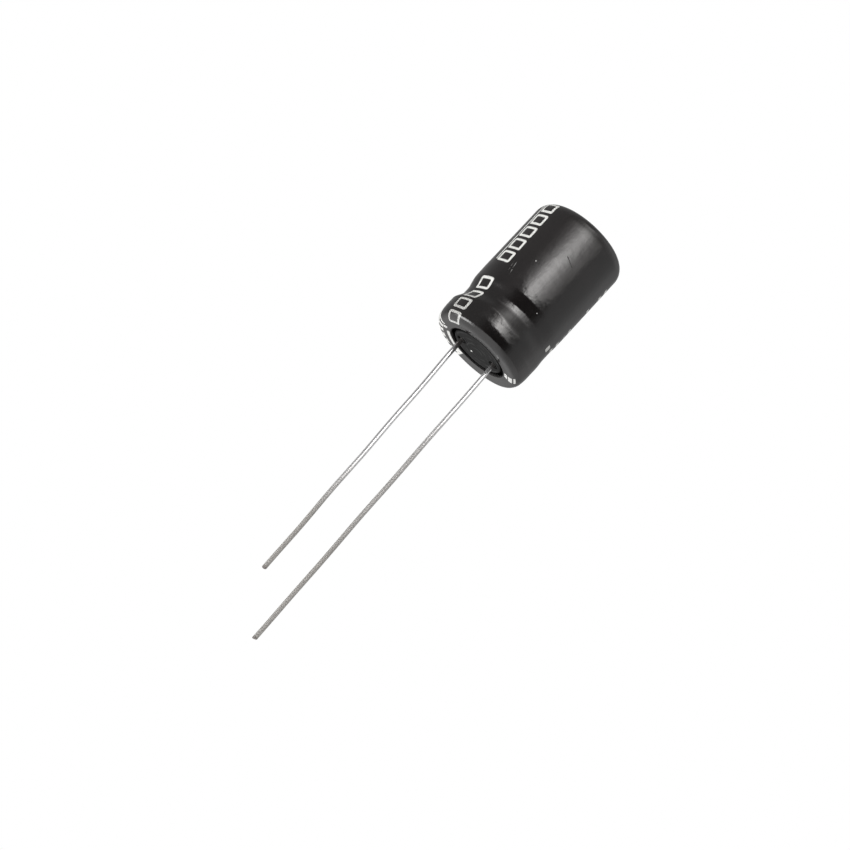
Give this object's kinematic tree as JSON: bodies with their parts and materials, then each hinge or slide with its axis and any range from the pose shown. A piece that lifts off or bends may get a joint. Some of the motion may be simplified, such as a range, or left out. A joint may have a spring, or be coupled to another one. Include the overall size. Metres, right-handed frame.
{
  "type": "electrolytic capacitor",
  "caption": "Radial aluminium electrolytic capacitor with a dark shrunk sleeve, rolled bead, rubber bung and two tinned leads of unequal length.",
  "frame": {"origin": "middle of the sleeve's resting rim, at the closed head", "axes": "+Z from the head to the leads, +X from the positive lead to the negative one"},
  "size_m": [0.0132, 0.0132, 0.0643],
  "materials": {
    "sleeve_film": "semi-gloss shrunk film with a light print",
    "can_metal": "drawn, satin",
    "bung_rubber": "moulded, matt",
    "paper_and_foil": "soaked paper and etched foil",
    "tape_film": "thin adhesive film",
    "tab_metal": "forged, satin",
    "tinned_wire": "bright tin"
  },
  "bodies": {
    "root": {"sleeve": "sleeve_film", "can": "can_metal", "rubber_bung": "bung_rubber", "winding": "paper_and_foil", "fixing_tape": "tape_film", "negative_tab": "tab_metal", "positive_tab": "tab_metal", "negative_wire": "tinned_wire", "positive_wire": "tinned_wire"}
  },
  "joints": []
}
